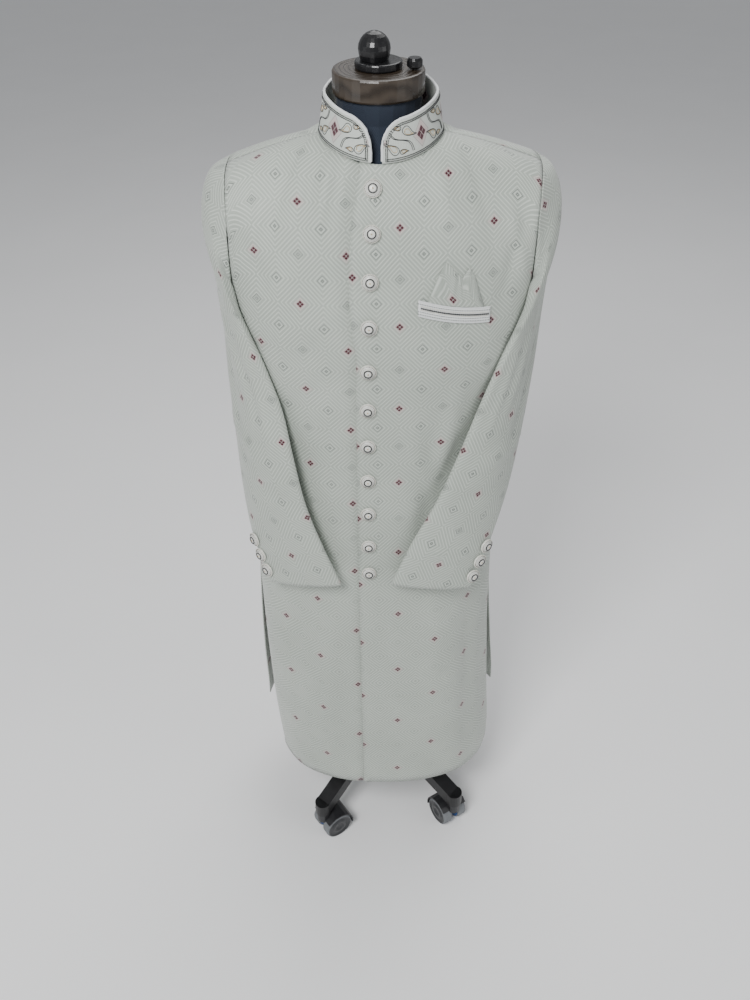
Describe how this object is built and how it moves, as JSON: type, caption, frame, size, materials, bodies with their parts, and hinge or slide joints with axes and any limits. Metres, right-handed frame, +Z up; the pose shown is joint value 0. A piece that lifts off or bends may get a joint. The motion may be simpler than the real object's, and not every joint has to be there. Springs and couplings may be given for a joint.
{
  "type": "sherwani on a wheeled dress form",
  "caption": "Knee-length button-front brocade coat with standing collar and breast pocket, on a limbless dress form whose stand has twin-wheel castors.",
  "frame": {"origin": "on the floor, under the centre of the form's pole", "axes": "+Z up, -Y out of the coat's front, +X towards the wearer's left"},
  "size_m": [0.4889, 0.3453, 1.4896],
  "materials": {
    "brocade": "satin",
    "buttons": "satin",
    "form_cover": "matte",
    "base_wood": "satin",
    "cap_wood": "satin",
    "black_fittings": "gloss",
    "pole_steel": "polished",
    "stand_metal": "satin",
    "castor_plastic": "gloss",
    "castor_tyres": "matte"
  },
  "bodies": {
    "stand_form_and_coat": {"back": "brocade", "ball_knob": "black_fittings", "base_board": "base_wood", "cap_flange": "black_fittings", "collar": "brocade", "cuff_button_left_1": "buttons", "cuff_button_left_2": "buttons", "cuff_button_left_3": "buttons", "cuff_button_right_1": "buttons", "cuff_button_right_2": "buttons", "cuff_button_right_3": "buttons", "form_torso": "form_cover", "front_button_1": "buttons", "front_button_10": "buttons", "front_button_11": "buttons", "front_button_2": "buttons", "front_button_3": "buttons", "front_button_4": "buttons", "front_button_5": "buttons", "front_button_6": "buttons", "front_button_7": "buttons", "front_button_8": "buttons", "front_button_9": "buttons", "front_left": "brocade", "front_right": "brocade", "hub": "stand_metal", "leg_1": "stand_metal", "leg_2": "stand_metal", "leg_3": "stand_metal", "leg_4": "stand_metal", "neck_cap": "cap_wood", "pocket_square": "brocade", "pocket_welt": "brocade", "pole": "pole_steel", "pole_sleeve": "stand_metal", "sleeve_left_top": "brocade", "sleeve_left_under": "brocade", "sleeve_right_top": "brocade", "sleeve_right_under": "brocade"},
    "lock_knob": {"lock_knob": "black_fittings"},
    "castor_swivel_1": {"castor_hood_1": "castor_plastic"},
    "castor_wheels_1": {"castor_wheels_1": "castor_tyres"},
    "castor_swivel_2": {"castor_hood_2": "castor_plastic"},
    "castor_wheels_2": {"castor_wheels_2": "castor_tyres"},
    "castor_swivel_3": {"castor_hood_3": "castor_plastic"},
    "castor_wheels_3": {"castor_wheels_3": "castor_tyres"},
    "castor_swivel_4": {"castor_hood_4": "castor_plastic"},
    "castor_wheels_4": {"castor_wheels_4": "castor_tyres"}
  },
  "joints": [
    {"name": "lock_knob_turn", "type": "hinge", "parent": "stand_form_and_coat", "child": "lock_knob", "pos_m": [0.0455, -0.01, 1.4461], "axis": [0, 0, 1], "range_deg": [0, 180]},
    {"name": "castor_1_swivel", "type": "hinge", "parent": "stand_form_and_coat", "child": "castor_swivel_1", "pos_m": [0.14144, -0.1208, 0.07], "axis": [0, 0, 1], "continuous": true},
    {"name": "castor_1_roll", "type": "hinge", "parent": "castor_swivel_1", "child": "castor_wheels_1", "pos_m": [0.13066, -0.10395, 0.02856], "axis": [-0.8423, -0.539, 0], "continuous": true},
    {"name": "castor_2_swivel", "type": "hinge", "parent": "stand_form_and_coat", "child": "castor_swivel_2", "pos_m": [0.1208, 0.14144, 0.07], "axis": [0, 0, 1], "continuous": true},
    {"name": "castor_2_roll", "type": "hinge", "parent": "castor_swivel_2", "child": "castor_wheels_2", "pos_m": [0.102, 0.13461, 0.02856], "axis": [0.3414, -0.9399, 0], "continuous": true},
    {"name": "castor_3_swivel", "type": "hinge", "parent": "stand_form_and_coat", "child": "castor_swivel_3", "pos_m": [-0.14144, 0.1208, 0.07], "axis": [0, 0, 1], "continuous": true},
    {"name": "castor_3_roll", "type": "hinge", "parent": "castor_swivel_3", "child": "castor_wheels_3", "pos_m": [-0.13137, 0.10352, 0.02856], "axis": [0.864, 0.5035, 0], "continuous": true},
    {"name": "castor_4_swivel", "type": "hinge", "parent": "stand_form_and_coat", "child": "castor_swivel_4", "pos_m": [-0.1208, -0.14144, 0.07], "axis": [0, 0, 1], "continuous": true},
    {"name": "castor_4_roll", "type": "hinge", "parent": "castor_swivel_4", "child": "castor_wheels_4", "pos_m": [-0.1044, -0.12998, 0.02856], "axis": [-0.5729, 0.8196, 0], "continuous": true}
  ]
}
